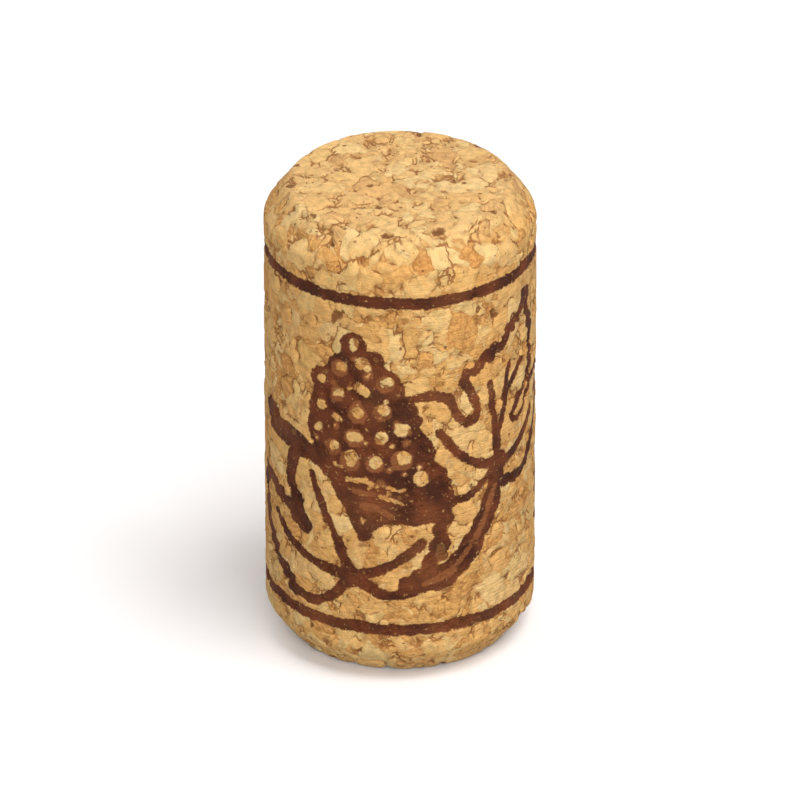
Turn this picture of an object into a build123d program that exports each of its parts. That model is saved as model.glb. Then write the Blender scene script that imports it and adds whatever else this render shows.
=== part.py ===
"""Wine cork: one solid of pressed cork granules, a straight cylinder with a chamfer at each end.

Millimetres, +Z up. The cork stands on one end, with the origin at the middle of that end.
"""
from build123d import *
import os

# Overall size
cork_diameter = 22.0
cork_length = 40.0

# Chamfer at each end, which guides the cork into the bottle's neck
chamfer_depth = 2.0
chamfer_height = 2.6

# Ground edges, rounded by tumbling: the rim is where an end meets its chamfer,
# the shoulder is where the chamfer meets the side
rim_radius = 0.7
shoulder_radius = 1.4

# Sizes that follow from those above
cork_radius = cork_diameter / 2
end_radius = cork_radius - chamfer_depth
lower_shoulder = chamfer_height
upper_shoulder = cork_length - chamfer_height

with BuildPart() as cork:
    with BuildSketch(Plane.XZ) as half_section:
        with BuildLine():
            Polyline(
                (0, 0),
                (end_radius, 0),
                (cork_radius, lower_shoulder),
                (cork_radius, upper_shoulder),
                (end_radius, cork_length),
                (0, cork_length),
                close=True,
            )
        make_face()
        # Corners grouped by distance from the axis: the rims come next to it, the shoulders last
        rims = half_section.vertices().group_by(Axis.X)[1]
        fillet(rims, radius=rim_radius)
        shoulders = half_section.vertices().group_by(Axis.X)[-1]
        fillet(shoulders, radius=shoulder_radius)
    revolve(axis=Axis.Z)

cork.part.label = "cork"

os.makedirs("parts", exist_ok=True)
export_step(cork.part, "parts/cork.step")
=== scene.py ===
"""Wine cork on its end: pressed and ground cork granules, with a vine and a glass stamped on the side.

The relief and the print are worked out in millimetres, and the mesh is written in metres.
"""
import math

import bpy
import numpy as np
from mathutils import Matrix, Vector


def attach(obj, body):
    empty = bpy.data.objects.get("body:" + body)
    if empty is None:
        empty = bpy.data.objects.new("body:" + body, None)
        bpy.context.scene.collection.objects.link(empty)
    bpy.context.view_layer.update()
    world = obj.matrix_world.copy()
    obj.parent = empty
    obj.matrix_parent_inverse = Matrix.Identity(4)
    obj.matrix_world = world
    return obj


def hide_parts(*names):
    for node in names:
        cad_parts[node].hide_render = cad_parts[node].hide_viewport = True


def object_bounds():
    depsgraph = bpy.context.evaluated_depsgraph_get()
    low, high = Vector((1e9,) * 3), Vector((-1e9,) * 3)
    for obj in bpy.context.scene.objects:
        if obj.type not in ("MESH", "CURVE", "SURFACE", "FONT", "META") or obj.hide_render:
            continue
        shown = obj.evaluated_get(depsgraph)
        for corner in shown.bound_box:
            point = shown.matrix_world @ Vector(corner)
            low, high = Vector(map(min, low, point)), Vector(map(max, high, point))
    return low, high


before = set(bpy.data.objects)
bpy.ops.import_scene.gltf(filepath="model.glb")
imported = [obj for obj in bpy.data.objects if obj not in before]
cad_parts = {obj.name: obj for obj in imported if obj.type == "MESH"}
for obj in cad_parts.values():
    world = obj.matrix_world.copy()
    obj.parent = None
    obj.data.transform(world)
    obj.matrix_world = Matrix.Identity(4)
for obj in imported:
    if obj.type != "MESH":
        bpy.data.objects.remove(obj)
cad_low, cad_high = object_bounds()

MM = 0.001
CORK_RADIUS = cad_high.x / MM
CORK_LENGTH = cad_high.z / MM
HALF_LENGTH = CORK_LENGTH / 2
RANDOM_SEED = 11

# Mesh: cells along a quarter of a ring, and rows of cells from one end's rim to the other's
CELLS_IN_QUARTER = 90
COLUMNS = 4 * CELLS_IN_QUARTER
SIDE_ROWS = 220

# The flat sheet that the surface is spread on, from 0 to 1 each way. The side takes its lower part,
# and the two ends lie beside each other above it.
SIDE_SHEET_HEIGHT = 0.7
END_SHEET_RADIUS = 0.14
LOWER_END_MIDDLE = (0.16, 0.85)
UPPER_END_MIDDLE = (0.48, 0.85)

# Granules: how many there are in a mm, which share of the large ones is a cluster of small ones,
# and which share of those fell out
LARGE_GRANULES = 0.5
SMALL_GRANULES = 1.05
CLUSTER_SHARE = 0.45
LOST_SHARE = 0.04

# Relief: depths in mm below the cork's true surface
SWELL_DEPTH = 0.05
GRANULE_DEPTH = 0.085
GAP_DEPTH = 0.2
LOST_DEPTH = 0.28
INK_DEPTH = 0.04
SHUT_JOINT_SHARE = 0.14

# Finer relief, as bump in the material: heights and depths in mm
GRAIN_HEIGHT = 0.1
MICRO_HEIGHT = 0.1
GRINDING_HEIGHT = 0.16
FINE_JOINT_DEPTH = 0.07
SPECK_DEPTH = 0.06
FINE_PIT_DEPTH = 0.05

# Pits and chips: how many are on the side and at each end, and their smallest and largest radii in mm.
# The side's pits keep a margin to the ends, and the chips lie a little outside an end's flat part.
SIDE_PITS = 40
SIDE_PIT_SIZES = (0.18, 0.36)
WIDE_PIT_SIZES = (0.4, 0.6)
NARROW_PIT_SHARE = 0.85
SIDE_PIT_MARGIN = 2.5
END_PITS = 7
END_PIT_SIZES = (0.18, 0.42)
RIM_CHIPS = 14
CHIP_SIZES = (0.2, 0.55)
CHIP_OFFSET = 0.3
PIT_STRETCH = 0.45
PIT_RAGGEDNESS = 0.13

# Pores, which the material draws: how many places there are for one in a mm
PORE_GRID = 1.1

# Where the chamfers' coarser surface starts and is full, and where the ends are painted paler as painted
# light, in mm from an end
COARSE_FROM, COARSE_FULL = 3.2, 2.4
PALE_FROM, PALE_FULL = 2.0, 0.2

# Print, in mm: x runs round the cork to the right as seen from outside, and z runs up it.
# Both are 0 at about the lower left corner of the print's frame. Distances from the ink are followed
# as far as the reach. A leaf's tooth is as long as the pitch, and rises along a share of it, the slope.
PRINT_FOOT = 4.5
PRINT_X_AT_FRONT = 22.2
PRINT_REACH = 1.5
PATH_STEP = 0.12
FRAME_LEFT, FRAME_RIGHT = 0.5, 55.0
FRAME_LOW, FRAME_HIGH = 0.35, 30.2
FRAME_LINE = 1.05
TOOTH_PITCH = 1.6
TOOTH_SLOPE = 0.72

# Bunch of grapes: where its sides are at some heights, how far inside them its solid ink stays,
# and its columns of grapes, each with the lowest one, the highest one and how many it has
BUNCH_HEIGHTS = (10.6, 12.5, 14.5, 16.5, 19.0, 21.5, 24.0, 26.6)
BUNCH_LEFT = (19.0, 17.3, 15.4, 14.0, 13.8, 14.2, 15.7, 17.9)
BUNCH_RIGHT = (25.6, 26.6, 25.6, 24.5, 23.9, 22.7, 20.9, 19.1)
INSET_LEFT, INSET_RIGHT = 0.35, 0.5
INSET_LOW, INSET_HIGH = 0.4, 0.2
GRAPE_COLUMNS = (
    ((15.2, 17.9), (15.6, 22.3), 3),
    ((16.7, 16.7), (17.2, 24.0), 4),
    ((18.2, 15.6), (19.3, 24.4), 5),
    ((18.4, 26.1), (18.4, 26.1), 1),
    ((20.3, 15.6), (21.2, 22.9), 4),
    ((22.5, 16.2), (22.3, 18.8), 2),
    ((23.8, 14.3), (23.8, 14.3), 1),
)
GRAPE_RADIUS = 1.15
GRAPE_SCATTER = 0.12

# Glints: the ones left of a line or above a height are small, and a share of all has thin ink round it
SMALL_LEFT_OF, SMALL_ABOVE = 17.5, 25.5
SMALL_GLINTS = (0.34, 0.48)
LARGE_GLINTS = (0.46, 0.64)
THIN_RING_SHARE = 0.6
THIN_RING_WIDTH = 0.32

# Worn spots of the bunch: how many, between which heights, and the radii of the bare spot and the thin one
BUNCH_SPOTS = 26
SPOT_HEIGHTS = (12, 25)
BARE_SPOT_SIZES = (0.05, 0.2)
THIN_SPOT_SIZES = (0.2, 0.4)

# Camera, in metres and degrees
CAMERA_ELEVATION = 29
CAMERA_DISTANCE = 1.0
VIEW_WIDTH = 0.0645

# Room, in metres and watts: the floor's size and its colour for the camera and for the light,
# the strength of the light from all round, and the place, width and power of each square lamp
FLOOR_SIZE = 1.6
FLOOR_SEEN = (0.93, 0.91, 0.905, 1)
FLOOR_LIT = (0.5, 0.5, 0.5, 1)
ROOM_LIGHT = 0.33
LAMPS = {
    "key": ((0.22, -0.13, 0.6), 0.36, 2.9),
    "fill": ((0.02, -0.52, 0.26), 0.4, 2.35),
    "back": ((-0.25, 0.45, 0.4), 0.4, 1.2),
}


def srgb(red, green, blue):
    """A colour given as it looks on screen, from 0 to 255, as the linear colour that Blender takes."""
    shares = [c / 255 for c in (red, green, blue)]
    return [c / 12.92 if c <= 0.04045 else ((c + 0.055) / 1.055) ** 2.4 for c in shares] + [1.0]


# Colours: the granules from dark to pale, what tints them, what lies in and between them, and the ink. The
# ends' paler colour is painted light, and the pits' brown is partly painted shade
GRANULE_BROWNS = (
    (0.0, srgb(180, 122, 62)),
    (0.12, srgb(209, 154, 85)),
    (0.45, srgb(226, 175, 105)),
    (0.75, srgb(228, 185, 118)),
    (1.0, srgb(229, 194, 132)),
)
RED_BROWN = srgb(206, 141, 75)
GREEN_BROWN = srgb(190, 163, 98)
GROUND_SIDE = srgb(228, 175, 104)
# Painted light: the paler colour that both ends are mixed toward, as if brightly lit from above
PAINTED_LIT_END = srgb(228, 197, 141)
SPECK_BROWN = srgb(112, 63, 30)
JOINT_BROWN = srgb(140, 84, 40)
HOLE_BROWN = srgb(156, 102, 52)
# The pits' brown: their own darker colour, and partly painted shade of the hollow
PIT_BROWN_AND_SHADE = srgb(116, 68, 32)
DARK_INK = srgb(66, 29, 12)
PALE_INK = srgb(107, 53, 25)
THIN_INK = srgb(156, 95, 52)


def add_object(name, data):
    item = bpy.data.objects.new(name, data)
    bpy.context.scene.collection.objects.link(item)
    return item


# Node patterns

class Graph:
    """Adds nodes to a tree of shader or geometry nodes, so that a pattern reads as a formula."""

    def __init__(self, tree):
        self.tree = tree

    def feed(self, socket, value):
        if isinstance(value, bpy.types.NodeSocket):
            self.tree.links.new(value, socket)
        else:
            socket.default_value = value

    def add(self, kind, settings=None, **inputs):
        node = self.tree.nodes.new(kind)
        for name, value in (settings or {}).items():
            setattr(node, name, value)
        for name, value in inputs.items():
            self.feed(node.inputs[name.replace("_", " ")], value)
        return node

    def math(self, operation, *values):
        node = self.add("ShaderNodeMath", {"operation": operation})
        for socket, value in zip(node.inputs, values):
            self.feed(socket, value)
        return node.outputs[0]

    def total(self, first, *others):
        for value in others:
            first = self.math("ADD", first, value)
        return first

    def product(self, first, *others):
        for value in others:
            first = self.math("MULTIPLY", first, value)
        return first

    def swing(self, value, size):
        """A value around 0.5 turned into one around 0, times a size."""
        return self.product(self.math("SUBTRACT", value, 0.5), size)

    def vector(self, operation, *values):
        node = self.add("ShaderNodeVectorMath", {"operation": operation})
        for socket, value in zip(node.inputs, values):
            self.feed(socket, value)
        return node.outputs["Value" if operation == "DOT_PRODUCT" else "Vector"]

    def scaled(self, vector, factor):
        """A vector or a colour times a number."""
        node = self.add("ShaderNodeVectorMath", {"operation": "SCALE"}, Scale=factor)
        self.feed(node.inputs[0], vector)
        return node.outputs["Vector"]

    def part(self, vector, index):
        """One of the three numbers in a vector or a colour."""
        return self.add("ShaderNodeSeparateXYZ", None, Vector=vector).outputs[index]

    def stored(self, name, output="Fac"):
        """What keep() stored for each point of the mesh, read by a material."""
        return self.add("ShaderNodeAttribute", {"attribute_name": name}).outputs[output]

    def noise(self, at, scale, detail):
        """Smooth noise around 0.5."""
        return self.add("ShaderNodeTexNoise", None, Vector=at, Scale=scale, Detail=detail).outputs[0]

    def shift(self, at, scale, size):
        """The place moved by up to about half the size, smoothly and at random."""
        swing = self.add("ShaderNodeTexNoise", None, Vector=at, Scale=scale, Detail=1.0).outputs[1]
        centred = self.vector("SUBTRACT", swing, (0.5, 0.5, 0.5))
        return self.vector("ADD", at, self.scaled(centred, size))

    def voronoi(self, at, scale, feature):
        return self.add("ShaderNodeTexVoronoi", {"feature": feature}, Vector=at, Scale=scale)

    def cell_edge(self, at, scale):
        """Distance in mm to the nearest edge of a cell."""
        return self.math("DIVIDE", self.voronoi(at, scale, "DISTANCE_TO_EDGE").outputs["Distance"], scale)

    def band(self, value, start, end, low=0.0, high=1.0):
        """Goes smoothly from low to high while the value goes from start to end."""
        node = self.add("ShaderNodeMapRange", {"interpolation_type": "SMOOTHSTEP"})
        for socket, number in zip(node.inputs, (value, start, end, low, high)):
            self.feed(socket, number)
        return node.outputs[0]

    def mix(self, factor, a, b, kind="RGBA"):
        """From a to b as the factor goes from 0 to 1."""
        node = self.add("ShaderNodeMix", {"data_type": kind})
        first = {"FLOAT": 2, "RGBA": 6}[kind]
        for index, value in ((0, factor), (first, a), (first + 1, b)):
            self.feed(node.inputs[index], value)
        return node.outputs[first // 2 - 1]

    def ramp(self, factor, stops):
        node = self.add("ShaderNodeValToRGB")
        self.feed(node.inputs[0], factor)
        elements = node.color_ramp.elements
        while len(elements) < len(stops):
            elements.new(0.5)
        for element, (place, colour) in zip(elements, stops):
            element.position = place
            element.color = colour
        return node.outputs[0]


def new_material(name):
    """A material without nodes, and what adds them to it."""
    material = bpy.data.materials.new(name)
    material.use_nodes = True
    material.node_tree.nodes.clear()
    return material, Graph(material.node_tree)


def granules(g, at):
    """The pressed granules at a place given in mm.

    Returns three random numbers for each granule as a colour, the distance in mm to its edge,
    how far the joint with its neighbours has opened there, from 0 to 1, and 1 where a granule fell out.
    """
    # Long and short waves bend the cells' straight edges
    bent = g.shift(g.shift(at, 0.42, 2.2), 1.7, 0.55)
    large_tint = g.voronoi(bent, LARGE_GRANULES, "F1").outputs["Color"]
    small_tint = g.voronoi(bent, SMALL_GRANULES, "F1").outputs["Color"]
    large_edge = g.cell_edge(bent, LARGE_GRANULES)
    small_edge = g.cell_edge(bent, SMALL_GRANULES)

    # Some large granules give way to a cluster of small ones
    is_cluster = g.math("LESS_THAN", g.part(large_tint, 0), CLUSTER_SHARE)
    tint = g.mix(is_cluster, large_tint, small_tint)
    edge = g.mix(is_cluster, large_edge, g.math("MINIMUM", large_edge, small_edge), "FLOAT")
    opening = g.band(g.noise(at, 0.65, 2.0), 0.47, 0.64)
    lost = g.product(is_cluster, g.math("LESS_THAN", g.part(small_tint, 0), LOST_SHARE))
    return tint, edge, opening, lost


# Cork's mesh

def cad_profile():
    """Radius and height, in mm, of the cork's outline from one end's rim to the other's."""
    corners = np.array([v.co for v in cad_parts["cork"].data.vertices]) / MM
    radii = np.hypot(corners[:, 0], corners[:, 1])
    heights = np.round(corners[:, 2], 3)
    levels = np.unique(heights)
    outline = np.array([[radii[heights == level].max(), level] for level in levels])
    steps = np.hypot(*np.diff(outline, axis=0).T)
    travel = np.concatenate([[0], np.cumsum(steps)])
    stations = np.linspace(0, travel[-1], SIDE_ROWS + 1)
    return np.stack([np.interp(stations, travel, outline[:, k]) for k in (0, 1)], axis=1)


def disc_grid():
    """A square grid bent into a disc of radius 1, with its edge points evenly spaced round the circle."""
    steps = np.linspace(-1, 1, CELLS_IN_QUARTER + 1)
    a, b = np.meshgrid(steps, steps, indexing="ij")
    sideways = np.abs(a) > np.abs(b)
    long = np.where(sideways, a, b)
    short = np.where(sideways, b, a)
    lean = math.pi / 4 * np.divide(short, long, out=np.zeros_like(a), where=long != 0)
    angle = np.where(sideways, lean, math.pi / 2 - lean)
    return long * np.cos(angle), long * np.sin(angle)


def side_faces():
    """Four corners and their flat places, each from 0 to 1, for every cell of the side."""
    rows, columns = np.meshgrid(np.arange(SIDE_ROWS), np.arange(COLUMNS), indexing="ij")
    faces = []
    places = []
    for up, right in ((0, 0), (0, 1), (1, 1), (1, 0)):
        faces.append((rows + up) * COLUMNS + (columns + right) % COLUMNS)
        places.append(np.stack([(columns + right) / COLUMNS, (rows + up) / SIDE_ROWS], axis=-1))
    return np.stack(faces, axis=-1).reshape(-1, 4), np.stack(places, axis=-2).reshape(-1, 4, 2)


def end_faces(x, y, edge_row, first_new):
    """The same for an end, with places from -1 to 1. It shares a ring of points with the side as its edge,
    and its other points are numbered from first_new."""
    column = np.rint(np.arctan2(y, x) / (2 * math.pi / COLUMNS)).astype(int) % COLUMNS
    numbers = edge_row * COLUMNS + column
    inner = numbers[1:-1, 1:-1].shape
    numbers[1:-1, 1:-1] = first_new + np.arange(inner[0] * inner[1]).reshape(inner)
    near, far = slice(0, -1), slice(1, None)
    corners = ((near, near), (far, near), (far, far), (near, far))
    if edge_row == 0:
        corners = corners[::-1]
    faces = np.stack([numbers[c] for c in corners], axis=-1).reshape(-1, 4)
    places = np.stack([np.stack([x[c], y[c]], axis=-1) for c in corners], axis=-2).reshape(-1, 4, 2)
    return faces, places


def build_skin():
    """The cork's whole surface as one closed mesh of small cells, with nothing on it yet."""
    profile = cad_profile()
    turns = np.arange(COLUMNS) * 2 * math.pi / COLUMNS
    side = np.stack([
        np.outer(profile[:, 0], np.cos(turns)),
        np.outer(profile[:, 0], np.sin(turns)),
        np.outer(profile[:, 1], np.ones(COLUMNS)),
    ], axis=-1).reshape(-1, 3)

    points = [side]
    faces, places = side_faces()
    all_faces = [faces]
    sheet = [places * (1.0, SIDE_SHEET_HEIGHT)]
    x, y = disc_grid()
    for row, sheet_middle in ((0, LOWER_END_MIDDLE), (SIDE_ROWS, UPPER_END_MIDDLE)):
        radius, height = profile[row]
        faces, places = end_faces(x, y, row, sum(len(p) for p in points))
        inner = np.stack([x * radius, y * radius, np.full_like(x, height)], axis=-1)[1:-1, 1:-1]
        points.append(inner.reshape(-1, 3))
        all_faces.append(faces)
        sheet.append(places * END_SHEET_RADIUS + sheet_middle)

    mesh = bpy.data.meshes.new("cork_surface")
    rest = np.vstack(points)
    mesh.from_pydata((rest * MM).tolist(), [], np.vstack(all_faces).tolist())
    mesh.shade_smooth()
    mesh.uv_layers.new(name="OFBake").data.foreach_set("uv", np.vstack(sheet).ravel())
    keep(mesh, "rest", rest)
    return add_object("cork_surface", mesh), rest, profile


def keep(mesh, name, values):
    """Stores a number or a vector for each point of the mesh, for the node patterns to read."""
    is_vector = values.ndim == 2
    attribute = mesh.attributes.new(name, "FLOAT_VECTOR" if is_vector else "FLOAT", "POINT")
    attribute.data.foreach_set("vector" if is_vector else "value", values.astype(np.float32).ravel())


def read_granules(piece):
    """What the granule pattern says at each point of the mesh, worked out by geometry nodes."""
    tree = bpy.data.node_groups.new("granule_reading", "GeometryNodeTree")
    tree.interface.new_socket("Mesh", in_out="INPUT", socket_type="NodeSocketGeometry")
    tree.interface.new_socket("Mesh", in_out="OUTPUT", socket_type="NodeSocketGeometry")
    g = Graph(tree)
    at = g.add("GeometryNodeInputNamedAttribute", {"data_type": "FLOAT_VECTOR"}, Name="rest").outputs[0]
    tint, edge, opening, lost = granules(g, at)
    readings = {
        "height": g.part(tint, 0),
        "edge": edge,
        "opening": opening,
        "lost": lost,
        "swell": g.noise(at, 0.16, 3.0),
    }
    flow = g.add("NodeGroupInput").outputs[0]
    for name, value in readings.items():
        store = g.add("GeometryNodeStoreNamedAttribute", {"data_type": "FLOAT", "domain": "POINT"}, Name=name)
        g.feed(store.inputs["Geometry"], flow)
        g.feed(store.inputs["Value"], value)
        flow = store.outputs[0]
    g.feed(g.add("NodeGroupOutput").inputs[0], flow)

    modifier = piece.modifiers.new("granule_reading", "NODES")
    modifier.node_group = tree
    solved = piece.evaluated_get(bpy.context.evaluated_depsgraph_get()).data
    numbers = {}
    for name in readings:
        numbers[name] = np.empty(len(solved.vertices), np.float32)
        solved.attributes[name].data.foreach_get("value", numbers[name])
    piece.modifiers.remove(modifier)
    bpy.data.node_groups.remove(tree)
    return numbers


# Relief

def smoothstep(values, start, end):
    """Goes smoothly from 0 to 1 while the values go from start to end."""
    share = np.clip((values - start) / (end - start), 0, 1)
    return share * share * (3 - 2 * share)


def press_pit(rest, depth, dark_and_shade, centre, radius, pit_depth, draw):
    """Sinks a hollow with a ragged outline into the skin round one point, and darkens it most in the middle:
    partly its own colour, partly painted shade of the hollow.
    """
    offset = rest - centre
    near = np.flatnonzero((np.abs(offset) < 2.2 * radius).all(axis=1))
    local = offset[near]

    # The hollow is longer one way, and waves make its outline ragged
    way = draw.normal(size=3)
    way /= np.linalg.norm(way)
    squeezed = local - PIT_STRETCH * np.outer(local @ way, way)
    away = np.linalg.norm(squeezed, axis=1) / radius
    for wave in draw.normal(size=(3, 3)):
        away *= 1 + PIT_RAGGEDNESS * np.sin(local @ wave * 2.6 / radius + draw.uniform(0, 6))

    hollow = 1 - smoothstep(away, 0.35, 1.0)
    depth[near] = np.maximum(depth[near], pit_depth * hollow)
    # Painted shade, together with the pit's own darker colour: darkest in the middle of the hollow
    dark_and_shade[near] = np.maximum(dark_and_shade[near], 1 - smoothstep(away, 0.5, 1.15))


def add_pits(rest, profile):
    """Depth in mm, and darkness from 0 to 1 that is partly painted shade, at each point, of the pits and
    chips.
    """
    draw = np.random.default_rng(RANDOM_SEED)
    depth = np.zeros(len(rest))
    dark_and_shade = np.zeros(len(rest))

    def pit_at(radius_at, turn, height, size, pit_depth):
        centre = np.array([radius_at * math.cos(turn), radius_at * math.sin(turn), height])
        press_pit(rest, depth, dark_and_shade, centre, size, pit_depth, draw)

    for _ in range(SIDE_PITS):
        height = draw.uniform(SIDE_PIT_MARGIN, CORK_LENGTH - SIDE_PIT_MARGIN)
        sizes = SIDE_PIT_SIZES if draw.random() < NARROW_PIT_SHARE else WIDE_PIT_SIZES
        size = draw.uniform(*sizes)
        pit_at(CORK_RADIUS, draw.uniform(0, 2 * math.pi), height, size, size * draw.uniform(0.4, 0.8))
    end_radius = profile[0, 0]
    for height in (0.0, CORK_LENGTH):
        for _ in range(END_PITS):
            size = draw.uniform(*END_PIT_SIZES)
            away = end_radius * math.sqrt(draw.random())
            pit_at(away, draw.uniform(0, 2 * math.pi), height, size, size * 0.6)
        for _ in range(RIM_CHIPS):
            size = draw.uniform(*CHIP_SIZES)
            pit_at(end_radius + CHIP_OFFSET, draw.uniform(0, 2 * math.pi), height, size, size * 0.35)
    return depth, dark_and_shade


def relief_depth(pattern, ink_gap, pit_depth):
    """How deep each point lies below the true surface, in mm."""
    # A joint that is still shut shows as a shallow groove
    groove = 1 - smoothstep(pattern["edge"], 0.05, 0.3)
    opened = SHUT_JOINT_SHARE + (1 - SHUT_JOINT_SHARE) * smoothstep(pattern["opening"], 0.1, 0.9)
    depth = SWELL_DEPTH * pattern["swell"]
    depth += GRANULE_DEPTH * pattern["height"]
    depth += GAP_DEPTH * groove * opened
    depth += INK_DEPTH * (1 - smoothstep(ink_gap, -0.15, 0.15))
    depth += LOST_DEPTH * pattern["lost"] * smoothstep(pattern["edge"], 0.02, 0.22)
    return np.maximum(depth, pit_depth)


def sink_skin(piece, rest, depth):
    """Moves each point inward by its depth in mm."""
    mesh = piece.data
    outward = np.empty(len(rest) * 3, np.float32)
    mesh.vertex_normals.foreach_get("vector", outward)
    moved = rest - outward.reshape(-1, 3) * depth[:, None]
    mesh.vertices.foreach_set("co", (moved * MM).ravel())
    mesh.update()


# Print

def smooth_path(points):
    """Closely spaced points along a smooth curve through a few points."""
    points = np.array(points, float)
    ends = np.vstack([2 * points[0] - points[1], points, 2 * points[-1] - points[-2]])
    spans = []
    for a, b, c, d in zip(ends, ends[1:], ends[2:], ends[3:]):
        count = math.ceil(np.linalg.norm(c - b) / PATH_STEP)
        t = np.linspace(0, 1, count, endpoint=False)[:, None]
        bend = 2 * a - 5 * b + 4 * c - d
        twist = 3 * b - a - 3 * c + d
        spans.append(b + 0.5 * ((c - a) * t + bend * t**2 + twist * t**3))
    return np.vstack(spans + [points[-1:]])


def jagged(path, teeth):
    """The path pushed to and fro across its own direction, as a leaf's edge with teeth of uneven length."""
    ahead = np.gradient(path, axis=0)
    ahead /= np.linalg.norm(ahead, axis=1)[:, None]
    across = np.stack([-ahead[:, 1], ahead[:, 0]], axis=1)
    travel = np.arange(len(path)) * PATH_STEP
    travel += 0.4 * np.sin(1.9 * travel)
    cycle = travel / TOOTH_PITCH % 1
    rise = np.minimum(cycle / TOOTH_SLOPE, (1 - cycle) / (1 - TOOTH_SLOPE))
    return path + across * (teeth * (2 * rise - 1))[:, None]


class Stamp:
    """The print, held as each point's distance in mm to the nearest edge of ink: below 0 is inked.

    The thin layer says in the same way where the ink is thin. It adds no ink of its own.
    """

    def __init__(self, x, z):
        self.x = x
        self.z = z
        self.ink = np.full(len(x), PRINT_REACH)
        self.thin = np.full(len(x), PRINT_REACH)

    def distance(self, centre):
        return np.hypot(self.x - centre[0], self.z - centre[1])

    def dot(self, centre, radius, thin=False):
        layer = self.thin if thin else self.ink
        np.minimum(layer, self.distance(centre) - radius, out=layer)

    def line(self, points, width, end_width=None, teeth=0.0, thin=False):
        """A line through a few points, which swells and narrows a little. Teeth make a leaf's edge of it."""
        path = smooth_path(points)
        if teeth:
            path = jagged(path, teeth)
        travel = np.arange(len(path)) * PATH_STEP
        pressure = 1 + 0.09 * np.sin(1.3 * travel + path[0, 0]) + 0.07 * np.sin(3.1 * travel + path[0, 1])
        widths = np.linspace(width, end_width or width, len(path)) * pressure
        for centre, radius in zip(path, widths / 2):
            self.dot(centre, radius, thin)

    def gap(self, centre, radius):
        """A round spot left bare."""
        np.maximum(self.ink, radius - self.distance(centre), out=self.ink)

    def slit(self, points, width):
        """A streak left bare."""
        for centre in smooth_path(points):
            self.gap(centre, width / 2)

    def frame(self, left, right, low, high, line):
        """A rectangle of four lines, which are not quite straight."""
        x_out = np.abs(self.x - (left + right) / 2) - (right - left) / 2
        z_out = np.abs(self.z - (low + high) / 2) - (high - low) / 2
        outside = np.hypot(np.maximum(x_out, 0), np.maximum(z_out, 0))
        inside = np.minimum(np.maximum(x_out, z_out), 0)
        wobble = 0.05 * np.sin(self.x * 1.1) * np.sin(self.x * 0.37 + self.z)
        np.minimum(self.ink, np.abs(outside + inside + wobble) - line / 2, out=self.ink)


def draw_left_leaf(stamp):
    """The leaf below the bunch, its stalk and the cut branch that it grows from."""
    stamp.line([(8.5, 16.8), (9.5, 16.3), (10.9, 16.0), (12.5, 15.8), (14.2, 15.2)], 2.0, 1.8)
    stamp.line([(8.6, 15.5), (10.4, 15.3), (12.4, 15.2)], 0.9, 1.2)
    stamp.line([(12.6, 15.3), (12.1, 13.5), (11.9, 12.0), (12.6, 10.3), (13.5, 8.7)], 1.35, 1.15)
    stamp.dot((13.6, 8.4), 0.85)
    stamp.line([(13.3, 8.6), (11.5, 9.4), (9.7, 10.1), (8.0, 10.7)], 1.25, 1.0, teeth=0.28)
    stamp.line([(7.6, 10.9), (7.1, 9.3), (7.7, 7.3), (8.9, 5.2), (10.7, 3.4), (12.6, 2.0)],
               1.0, 0.95, teeth=0.36)
    stamp.line([(12.6, 2.0), (14.6, 1.8), (16.4, 2.8), (17.6, 4.2), (18.2, 5.2)], 0.9, 0.95)
    stamp.line([(18.2, 5.1), (19.6, 4.2), (21.2, 3.5), (23.4, 3.9)], 1.0)
    stamp.line([(18.2, 5.0), (16.8, 8.0), (15.5, 10.8), (14.4, 13.4)], 0.95, 0.75)
    stamp.line([(18.2, 5.0), (16.0, 5.1), (13.6, 5.7), (11.4, 6.6), (9.8, 8.0)], 1.0, 0.75)
    stamp.line([(18.2, 5.0), (20.5, 5.8), (22.3, 6.9), (23.9, 8.2)], 0.9, 0.95)
    stamp.dot((18.3, 4.9), 0.95)


def bunch_sides(z):
    """Where the bunch's left and right side are at a height or at many."""
    return np.interp(z, BUNCH_HEIGHTS, BUNCH_LEFT), np.interp(z, BUNCH_HEIGHTS, BUNCH_RIGHT)


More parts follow.
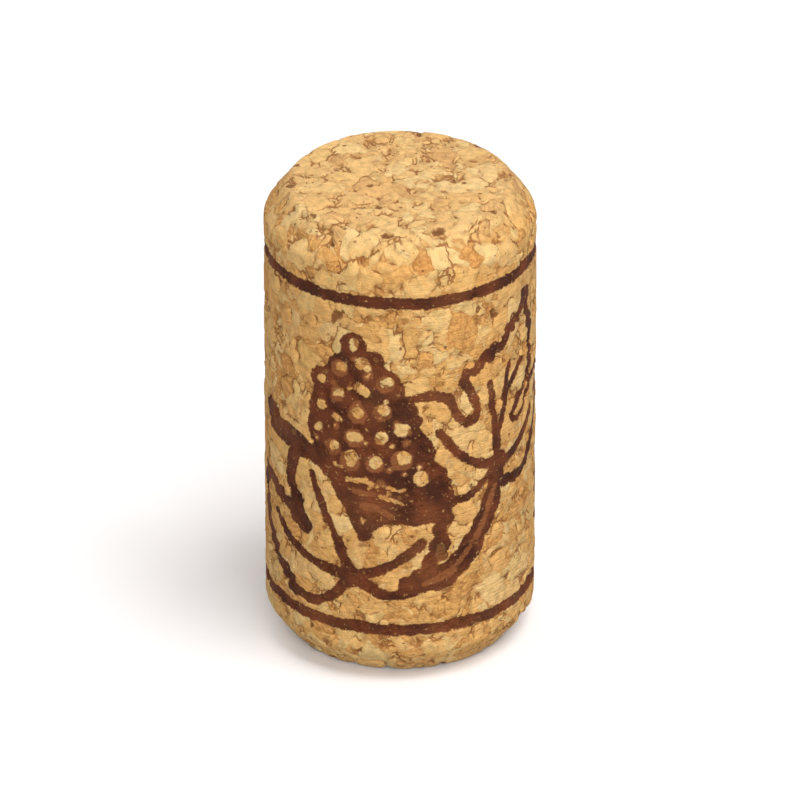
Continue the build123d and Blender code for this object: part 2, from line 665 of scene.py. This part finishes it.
def draw_bunch(stamp, draw):
    """Grapes in the bunch's outline, each with a bare glint, and the leaf's edge beside and under them."""
    # Solid ink fills the outline
    left, right = bunch_sides(stamp.z)
    past_sides = np.maximum(left + INSET_LEFT - stamp.x, stamp.x - (right - INSET_RIGHT))
    past_ends = np.maximum(BUNCH_HEIGHTS[0] + INSET_LOW - stamp.z, stamp.z - BUNCH_HEIGHTS[-1] + INSET_HIGH)
    np.minimum(stamp.ink, np.maximum(past_sides, past_ends), out=stamp.ink)

    grapes = []
    for lowest, highest, count in GRAPE_COLUMNS:
        for place in np.linspace(lowest, highest, count):
            centre = place + draw.uniform(-GRAPE_SCATTER, GRAPE_SCATTER, 2)
            stamp.dot(centre, GRAPE_RADIUS)
            grapes.append(centre)

    edge = [(19.6, 25.4), (21.1, 23.8), (22.4, 21.3), (23.5, 18.8), (24.3, 16.3), (25.4, 14.2), (26.1, 12.6)]
    stamp.line(edge, 1.1, 1.3, teeth=0.3)
    stamp.line([(13.3, 15.7), (15.5, 14.7), (17.2, 12.8), (18.2, 10.8), (19.2, 8.8)], 1.5, 0.9)
    stamp.line([(18.6, 11.6), (20.5, 10.9), (23.0, 10.7), (25.8, 10.9)], 1.6, 1.5)
    stamp.line([(19.3, 9.0), (19.8, 9.9), (21.0, 10.6)], 1.0, 0.9)

    for centre in grapes:
        draw_glint(stamp, centre, draw)

    # Bare streaks and thin ink under the grapes, and worn spots
    stamp.slit([(17.8, 13.8), (19.2, 13.9), (20.3, 13.5)], 0.42)
    stamp.slit([(20.9, 13.6), (21.9, 13.2), (22.6, 13.3)], 0.3)
    stamp.slit([(20.6, 12.6), (22.4, 12.0)], 0.36)
    stamp.slit([(16.6, 15.0), (17.3, 14.8)], 0.28)
    stamp.line([(19.2, 11.6), (20.4, 11.4), (21.5, 10.8)], 0.8, 0.5, thin=True)
    stamp.line([(18.4, 12.9), (20.0, 12.7)], 0.5, thin=True)
    for _ in range(BUNCH_SPOTS):
        z = draw.uniform(*SPOT_HEIGHTS)
        spot = (draw.uniform(*bunch_sides(z)), z)
        stamp.gap(spot, draw.uniform(*BARE_SPOT_SIZES))
        stamp.dot(spot, draw.uniform(*THIN_SPOT_SIZES), thin=True)


def draw_glint(stamp, grape, draw):
    """A bare spot on a grape, of two rounds side by side, and round some of them a ring of thin ink."""
    is_small = grape[0] < SMALL_LEFT_OF or grape[1] > SMALL_ABOVE
    size = draw.uniform(*(SMALL_GLINTS if is_small else LARGE_GLINTS))
    lean = draw.uniform(0, math.pi)
    off = draw.uniform(0.1, 0.28) * np.array([math.cos(lean), math.sin(lean)])
    stamp.gap(grape + off, size)
    stamp.gap(grape - off, size * draw.uniform(0.6, 1.0))
    if draw.random() < THIN_RING_SHARE:
        stamp.dot(grape - (0.12, 0.15), size + THIN_RING_WIDTH, thin=True)


def draw_middle_branch(stamp):
    """The thick branch under the bunch, and the jagged edge of the leaf that it passes."""
    stamp.line([(25.6, 10.9), (25.9, 9.2), (25.4, 7.6), (24.9, 6.2), (24.0, 5.1)], 1.15, 1.2, teeth=0.45)
    stamp.line([(22.8, 4.6), (24.4, 4.7), (26.2, 5.2), (28.2, 7.1)], 1.8, 2.3)
    stamp.line([(28.2, 7.1), (29.8, 9.6), (30.7, 11.7), (31.2, 13.8)], 2.3, 1.5)
    stamp.line([(24.2, 4.5), (26.4, 5.3), (28.3, 7.3), (29.9, 9.9), (30.7, 12.0)], 0.6, 0.5, thin=True)
    stamp.line([(25.4, 11.8), (27.5, 11.8), (29.3, 12.6), (30.7, 13.7)], 0.75, 0.85)


def draw_right_leaf(stamp):
    """The leaf beside the bunch, with veins that spread from where the branches meet."""
    hub = (31.0, 14.0)
    stamp.dot(hub, 1.1)
    stamp.line([hub, (30.8, 17.0), (30.5, 19.5), (30.1, 21.6)], 0.95, 0.65)
    stamp.line([hub, (28.7, 14.8), (27.0, 16.2), (25.4, 18.3)], 0.9, 0.75)
    stamp.line([hub, (32.6, 14.1), (34.6, 15.2), (36.6, 17.0)], 1.0, 0.75)
    stamp.line([(31.0, 16.5), (31.8, 18.8), (32.6, 20.6), (34.2, 22.0)], 0.6, 0.7)
    stamp.line([(31.9, 19.6), (32.0, 21.0), (32.4, 22.6)], 0.55)
    stamp.line([(35.6, 19.9), (34.0, 18.9), (32.8, 17.6), (33.6, 17.0), (34.7, 17.6), (35.7, 18.7)], 0.6)
    stamp.line([(22.6, 21.4), (24.4, 21.7), (26.2, 21.2), (27.0, 19.5), (28.0, 18.6)], 0.9, 0.85)
    stamp.line([(28.0, 18.6), (28.9, 19.3), (28.3, 21.2), (27.5, 22.5)], 0.85)
    stamp.line([(27.5, 22.5), (28.7, 23.6), (30.8, 24.5), (32.6, 25.7), (35.2, 28.0)], 0.85, teeth=0.4)
    stamp.line([(35.2, 28.0), (35.5, 25.8), (36.0, 23.6), (35.9, 21.4), (36.0, 19.4)], 0.85, 0.7, teeth=0.3)


def draw_long_branch(stamp):
    """The cut branch that crosses the glass: two lines, and between them a stroke that is mostly thin."""
    lower = [(31.2, 12.2), (33.6, 11.8), (35.6, 12.7), (37.4, 15.0), (39.0, 17.6), (43.0, 19.6), (48.8, 21.5)]
    upper = [(36.0, 19.3), (38.5, 19.8), (42.0, 20.8), (45.4, 22.0), (48.8, 23.0)]
    stamp.line(lower, 1.0, 0.75)
    stamp.line(upper, 0.75)
    stamp.line([(48.9, 21.5), (49.4, 22.2), (48.9, 23.0)], 0.7)
    stamp.line([(37.6, 17.8), (40.6, 19.3), (44.4, 20.8)], 1.2, 0.9)
    stamp.line([(37.2, 17.7), (40.6, 19.4), (44.8, 20.9)], 0.9, 0.7, thin=True)


def draw_glass(stamp):
    """A wine glass, rim down."""
    stamp.line([(39.8, 2.6), (44.4, 3.0), (48.9, 2.8)], 0.9)
    stamp.line([(39.8, 2.7), (38.6, 6.0), (39.1, 10.0), (40.7, 13.4), (43.3, 15.4)], 0.8)
    stamp.line([(48.8, 2.9), (49.1, 6.0), (48.6, 10.8), (47.0, 13.5), (44.6, 15.3)], 0.95)
    stamp.line([(44.0, 15.2), (44.0, 20.2)], 1.7, 1.6)
    stamp.line([(44.0, 15.8), (44.0, 20.0)], 1.0, thin=True)
    stamp.line([(43.1, 20.8), (42.9, 23.0), (42.2, 24.6), (40.6, 25.2)], 0.7)
    stamp.line([(44.7, 21.6), (44.5, 23.2), (45.2, 24.7), (47.0, 25.2)], 0.7)
    stamp.line([(38.9, 25.4), (41.0, 25.9), (43.6, 26.1), (46.0, 25.9), (48.3, 25.4)], 0.75)


def stamp_print(rest):
    """Distance to the edge of the ink, and of where it is thin, at each point. The ends have no print."""
    side = rest[: (SIDE_ROWS + 1) * COLUMNS]
    turn = np.arctan2(side[:, 0], -side[:, 1])
    stamp = Stamp(PRINT_X_AT_FRONT + CORK_RADIUS * turn, side[:, 2] - PRINT_FOOT)
    stamp.frame(FRAME_LEFT, FRAME_RIGHT, FRAME_LOW, FRAME_HIGH, FRAME_LINE)
    draw_bunch(stamp, np.random.default_rng(RANDOM_SEED))
    draw_left_leaf(stamp)
    draw_middle_branch(stamp)
    draw_right_leaf(stamp)
    draw_long_branch(stamp)
    draw_glass(stamp)
    ends = np.full(len(rest) - len(side), PRINT_REACH)
    return np.concatenate([stamp.ink, ends]), np.concatenate([stamp.thin, ends])


# Material

def granule_grain(g, at, tint):
    """Fine streaks, which run each granule's own way."""
    way = g.vector("NORMALIZE", g.vector("SUBTRACT", tint, (0.5, 0.5, 0.5)))
    along = g.vector("DOT_PRODUCT", at, way)
    return g.noise(g.vector("SUBTRACT", at, g.scaled(g.scaled(way, along), 0.85)), 4.5, 3.0)


def granule_colour(g, tint, grain, from_middle, coarse):
    """The granules' many browns, and painted light that makes both ends paler."""
    colour = g.ramp(g.total(g.part(tint, 1), g.swing(grain, 1.1)), GRANULE_BROWNS)
    colour = g.mix(g.band(g.part(tint, 2), 0.35, 1.0, low=0.0, high=0.32), colour, RED_BROWN)
    colour = g.mix(g.band(g.part(tint, 2), 0.14, 0.06, low=0.0, high=0.2), colour, GREEN_BROWN)

    # The side was ground smoother, so its granules differ less, and both ends are painted paler: painted
    # light that stands in for a brightly lit top
    colour = g.mix(g.band(coarse, 0.0, 1.0, low=0.15, high=0.1), colour, GROUND_SIDE)
    pale = g.band(from_middle, HALF_LENGTH - PALE_FROM, HALF_LENGTH - PALE_FULL, low=0.0, high=0.3)
    return g.mix(pale, colour, PAINTED_LIT_END)


def granule_shade(g, at, edge, micro):
    """Lightness: clouds over many granules, flecks and grains within them, and painted shade that darkens
    each granule towards its edge.
    """
    cloud = g.noise(at, 0.14, 2.0)
    fleck = g.noise(at, 1.5, 3.0)
    return g.product(
        g.band(micro, 0.3, 0.7, low=0.9, high=1.04),
        g.band(cloud, 0.3, 0.7, low=0.96, high=1.03),
        g.band(fleck, 0.32, 0.62, low=0.82, high=1.04),
        # Painted shade: each granule darker towards its edge, where it meets its joints
        g.band(edge, 0.0, 0.3, low=0.955, high=1.0),
    )


def surface_marks(g, at, pattern, coarse, dark_and_shade):
    """How far specks, open joints, holes of fallen granules, and pits and pores cover each place. The pits'
    darkness is partly painted shade.
    """
    tint, edge, opening, lost = pattern

    # Specks are thick in some granules and rare in others
    speck_line = g.band(g.part(tint, 0), 0.0, 1.0, low=0.66, high=0.76)
    speck_line = g.math("SUBTRACT", speck_line, g.product(coarse, 0.03))
    speck = g.math("SUBTRACT", g.noise(at, 3.4, 2.0), speck_line)
    speck = g.band(speck, -0.02, 0.05, low=0.0, high=0.85)

    joint = g.product(g.band(edge, 0.11, 0.02), g.band(opening, 0.0, 1.0, low=SHUT_JOINT_SHARE, high=0.85))
    hole = g.product(
        lost,
        g.band(edge, 0.0, 0.16),
        g.band(g.noise(at, 2.4, 3.0), 0.35, 0.65, low=0.2, high=0.8),
        g.band(coarse, 0.0, 1.0, low=0.6, high=1.0),
    )
    # Pits: their own darker colour and painted shade of the hollow, ragged at the edge
    ragged = g.total(dark_and_shade, g.swing(g.noise(at, 4.0, 3.0), 1.1))
    pit = g.math("MAXIMUM", g.band(ragged, 0.4, 1.0, low=0.0, high=0.9), pores(g, at, coarse))
    return speck, joint, hole, pit


def pores(g, at, coarse):
    """Small round pores, of which the coarse parts have more: 0.9 in their middle, and 0 outside them."""
    spot = g.voronoi(g.shift(at, 1.9, 0.35), PORE_GRID, "F1").outputs
    away = g.math("DIVIDE", spot["Distance"], PORE_GRID)
    share = g.band(coarse, 0.0, 1.0, low=0.04, high=0.12)
    chosen = g.math("LESS_THAN", g.part(spot["Color"], 0), share)
    return g.product(chosen, g.band(away, 0.22, 0.1, low=0.0, high=0.9))


def add_ink(g, at, bare, pit, grain):
    """Brown ink over the bare cork, ragged, worn and in places thin: its colour and how far it covers."""
    wobble = g.total(g.swing(g.noise(at, 2.2, 2.0), 0.4), g.swing(g.noise(at, 8.0, 2.0), 0.25))
    worn = g.total(g.noise(at, 3.6, 3.0), g.swing(grain, 0.4))
    cover = g.product(
        g.band(g.total(g.stored("ink_gap"), wobble), 0.07, -0.07),
        g.band(worn, 0.62, 0.78, low=1.0, high=0.45),
        g.math("SUBTRACT", 1.0, g.product(pit, 0.6)),
    )
    ink = g.mix(g.band(g.noise(at, 0.4, 5.0), 0.34, 0.66), DARK_INK, PALE_INK)
    thin = g.band(g.total(g.stored("thin_gap"), wobble), 0.12, -0.12, low=0.0, high=0.6)
    faded = g.band(g.noise(at, 0.13, 2.0), 0.48, 0.7, low=0.0, high=0.22)
    ink = g.mix(g.math("MAXIMUM", thin, faded), ink, THIN_INK)
    return g.mix(cover, bare, ink), cover


def fine_height(g, at, grain, micro, coarse):
    """Height in mm of the grain, and of the grinding marks that run round the side."""
    marks = g.noise(g.vector("MULTIPLY", at, (0.7, 0.7, 5.0)), 1.0, 3.0)
    marks = g.swing(marks, g.band(coarse, 0.0, 1.0, low=GRINDING_HEIGHT, high=0.0))
    return g.total(g.swing(grain, GRAIN_HEIGHT), marks, g.swing(micro, MICRO_HEIGHT))


def cork_material():
    """Printed cork. Its patterns are placed by each point's place before the skin was sunk, in mm."""
    material, g = new_material("cork")
    at = g.stored("rest", "Vector")
    pattern = granules(g, at)
    tint, edge = pattern[:2]
    grain = granule_grain(g, at, tint)
    micro = g.noise(at, 9.0, 3.0)

    # The ground chamfers and ends are coarser than the side
    from_middle = g.math("ABSOLUTE", g.math("SUBTRACT", g.part(at, 2), HALF_LENGTH))
    coarse = g.band(from_middle, HALF_LENGTH - COARSE_FROM, HALF_LENGTH - COARSE_FULL)

    colour = g.scaled(granule_colour(g, tint, grain, from_middle, coarse), granule_shade(g, at, edge, micro))
    speck, joint, hole, pit = surface_marks(g, at, pattern, coarse, g.stored("pit_dark_and_shade"))
    for mark, brown in ((speck, SPECK_BROWN), (joint, JOINT_BROWN), (hole, HOLE_BROWN), (pit, PIT_BROWN_AND_SHADE)):
        colour = g.mix(mark, colour, brown)
    colour, cover = add_ink(g, at, colour, pit, grain)

    sunk = g.total(
        g.product(joint, FINE_JOINT_DEPTH),
        g.product(speck, SPECK_DEPTH),
        g.product(pit, FINE_PIT_DEPTH),
    )
    height = g.math("SUBTRACT", fine_height(g, at, grain, micro, coarse), sunk)
    bump = g.add("ShaderNodeBump", None, Strength=1.0, Distance=MM, Height=height)
    surface = g.add("ShaderNodeBsdfPrincipled", None, Normal=bump.outputs[0])
    g.feed(surface.inputs["Base Color"], colour)

    # Ink is a little smoother than bare cork
    roughness = g.band(g.total(micro, g.product(cover, -0.2)), 0.2, 0.7, low=0.72, high=0.92)
    g.feed(surface.inputs["Roughness"], roughness)
    surface.inputs["Specular IOR Level"].default_value = 0.2
    g.add("ShaderNodeOutputMaterial", None, Surface=surface.outputs[0])
    return material


def make_cork():
    """Builds the skin, sinks the relief into it and stores what the material reads."""
    piece, rest, profile = build_skin()
    pattern = read_granules(piece)
    ink_gap, thin_gap = stamp_print(rest)
    pit_depth, pit_dark_and_shade = add_pits(rest, profile)
    sink_skin(piece, rest, relief_depth(pattern, ink_gap, pit_depth))

    keep(piece.data, "ink_gap", ink_gap)
    keep(piece.data, "thin_gap", thin_gap)
    keep(piece.data, "pit_dark_and_shade", pit_dark_and_shade)
    piece.data.materials.append(cork_material())
    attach(piece, "root")
    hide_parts("cork")


# Room

def white_for_camera(tree, lit_strength):
    """A background that the camera and reflections see as white, and that lights the cork less."""
    tree.nodes.clear()
    g = Graph(tree)
    path = g.add("ShaderNodeLightPath").outputs
    seen = g.math("MAXIMUM", path["Is Camera Ray"], path["Is Glossy Ray"])
    seen = g.math("MAXIMUM", seen, path["Is Transmission Ray"])
    strength = g.mix(seen, lit_strength, 1.0, "FLOAT")
    background = g.add("ShaderNodeBackground", None, Color=(1, 1, 1, 1), Strength=strength)
    g.add("ShaderNodeOutputWorld", None, Surface=background.outputs[0])


def make_floor():
    """A sheet of white paper, which throws less light on the cork than the camera sees in it."""
    mesh = bpy.data.meshes.new("floor")
    half = FLOOR_SIZE / 2
    corners = [(-half, -half, 0), (half, -half, 0), (half, half, 0), (-half, half, 0)]
    mesh.from_pydata(corners, [], [(0, 1, 2, 3)])
    floor = add_object("floor", mesh)
    material, g = new_material("floor")
    seen = g.add("ShaderNodeLightPath").outputs["Is Camera Ray"]
    paper = g.add("ShaderNodeBsdfDiffuse", None, Color=g.mix(seen, FLOOR_LIT, FLOOR_SEEN))
    g.add("ShaderNodeOutputMaterial", None, Surface=paper.outputs[0])
    mesh.materials.append(material)


def add_softbox(name, place, size, power, target):
    """A square lamp that faces the target."""
    lamp = bpy.data.lights.new(name, "AREA")
    lamp.size = size
    lamp.energy = power
    softbox = add_object(name, lamp)
    softbox.location = place
    softbox.rotation_euler = (target - Vector(place)).to_track_quat("-Z", "Y").to_euler()


def make_camera(target):
    """A long lens from the front and above, with the cork in the middle of the picture."""
    rise = math.radians(CAMERA_ELEVATION)
    lens = bpy.data.cameras.new("camera")
    lens.lens = lens.sensor_width * CAMERA_DISTANCE / VIEW_WIDTH
    camera = add_object("camera", lens)
    camera.location = target + CAMERA_DISTANCE * Vector((0, -math.cos(rise), math.sin(rise)))
    camera.rotation_euler = (math.pi / 2 - rise, 0, 0)
    bpy.context.scene.camera = camera


make_cork()
middle = (cad_low + cad_high) / 2
make_floor()
make_camera(middle)
for lamp_name, (place, width, power) in LAMPS.items():
    add_softbox(lamp_name, place, width, power, middle)
bpy.context.scene.world = bpy.data.worlds.new("room")
bpy.context.scene.world.use_nodes = True
white_for_camera(bpy.context.scene.world.node_tree, ROOM_LIGHT)
bpy.context.scene.view_settings.view_transform = "Standard"
